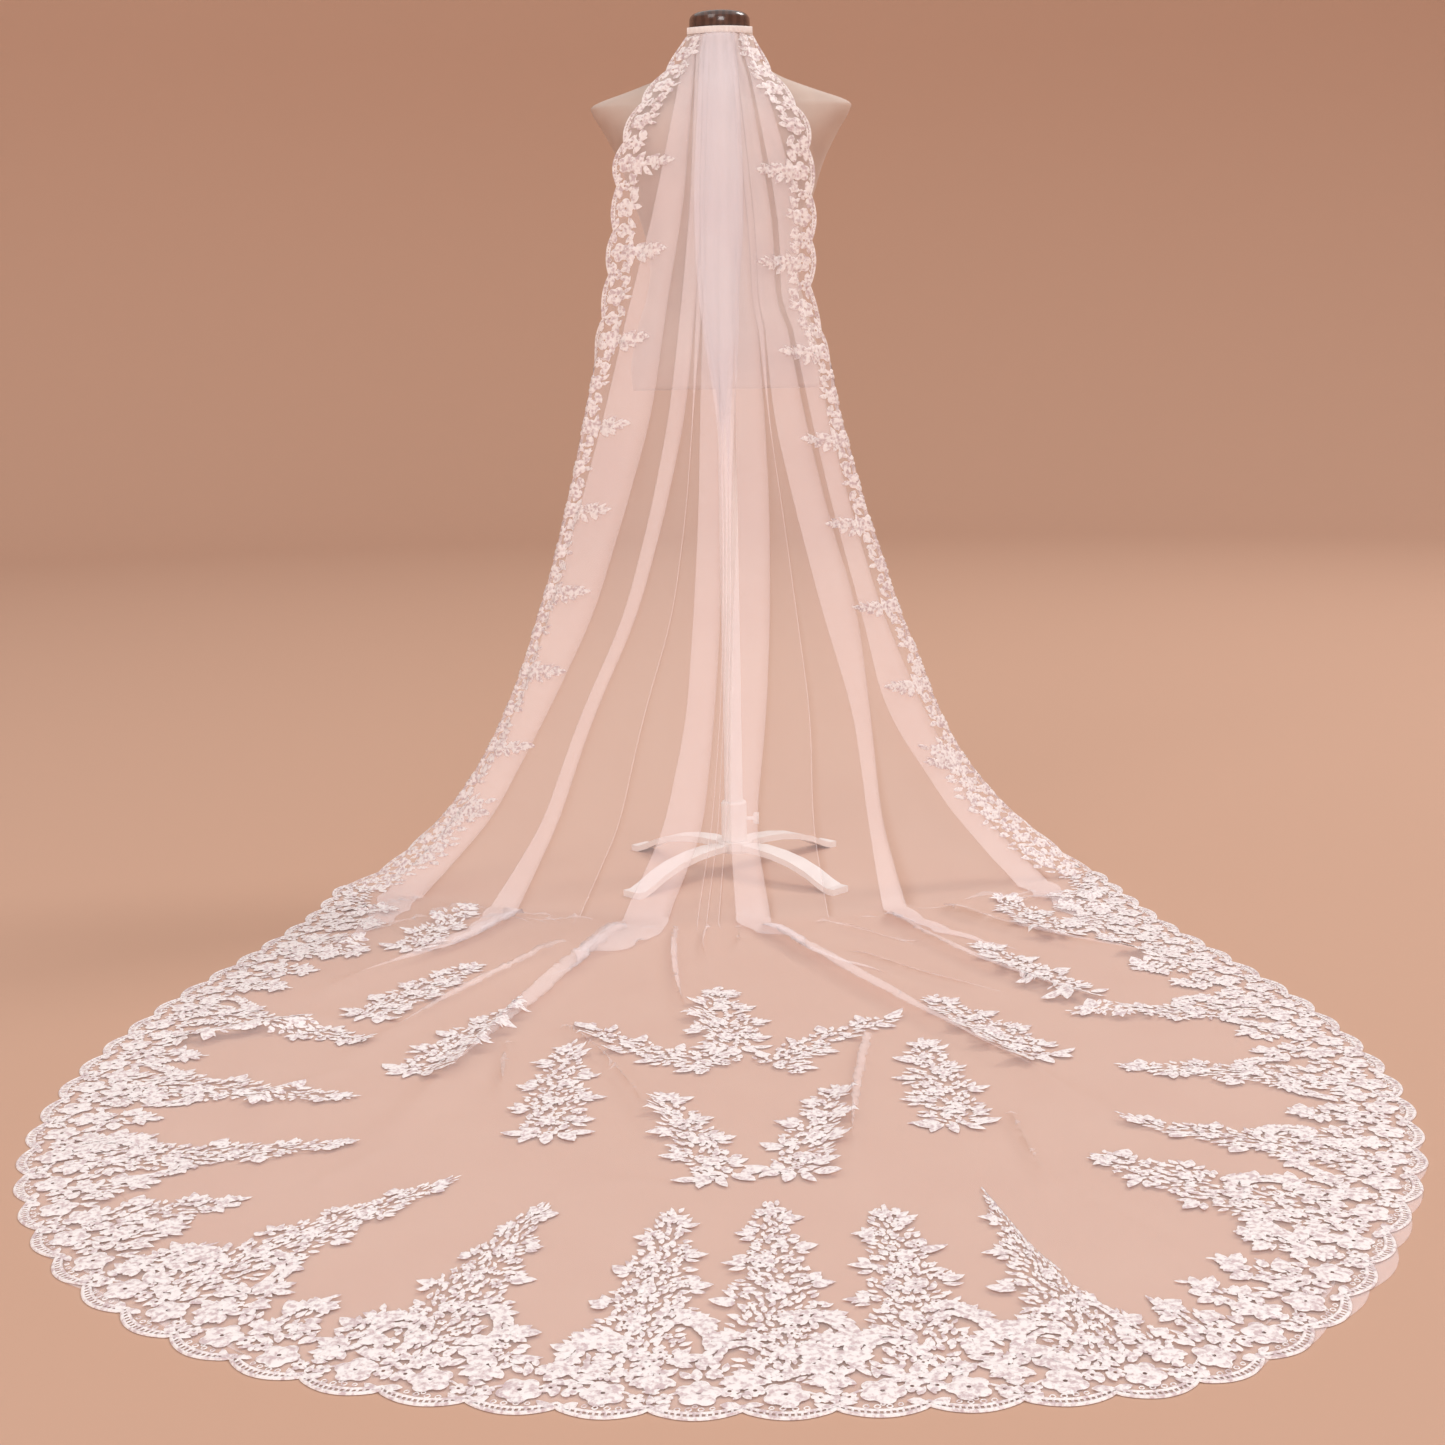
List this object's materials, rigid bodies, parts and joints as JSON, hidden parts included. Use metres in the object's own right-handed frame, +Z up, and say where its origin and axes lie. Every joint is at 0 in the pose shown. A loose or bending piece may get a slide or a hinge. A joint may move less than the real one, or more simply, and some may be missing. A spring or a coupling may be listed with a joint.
{
  "type": "bridal veil on a dress form",
  "caption": "Cathedral bridal veil of sheer net with scalloped floral lace border, gathered at the neck of a limbless dress form, its round train spread on the floor.",
  "frame": {"origin": "middle of the footprint at floor height", "axes": "+Z up; the train runs from the stand towards -Y; +X is to the right for someone who looks at the back of the veil"},
  "size_m": [1.5442, 1.9108, 1.359],
  "materials": {
    "net": "sheer fine net, matt",
    "lace": "corded floral lace with a slight sheen",
    "header_satin": "satin, soft sheen",
    "form_cloth": "smooth matt cover",
    "neck_cap_wood": "dark polished",
    "stand_paint": "white semi-gloss paint"
  },
  "bodies": {
    "root": {"torso": "form_cloth", "neck_cap": "neck_cap_wood", "pole": "stand_paint", "pole_collar": "stand_paint", "thumb_screw": "stand_paint", "base_hub": "stand_paint", "base_leg_1": "stand_paint", "base_leg_2": "stand_paint", "base_leg_3": "stand_paint", "base_leg_4": "stand_paint", "header_band": "header_satin", "net_fall": "net", "net_train": "net", "border_left_1": "lace", "border_left_2": "lace", "border_left_3": "lace", "border_left_4": "lace", "border_right_1": "lace", "border_right_2": "lace", "border_right_3": "lace", "border_right_4": "lace", "border_hem_01": "lace", "border_hem_02": "lace", "border_hem_03": "lace", "border_hem_04": "lace", "border_hem_05": "lace", "border_hem_06": "lace", "border_hem_07": "lace", "border_hem_08": "lace", "border_hem_09": "lace", "border_hem_10": "lace", "motif_01": "lace", "motif_02": "lace", "motif_03": "lace", "motif_04": "lace", "motif_05": "lace", "motif_06": "lace", "motif_07": "lace", "motif_08": "lace", "motif_09": "lace", "motif_10": "lace", "motif_11": "lace"}
  },
  "joints": []
}
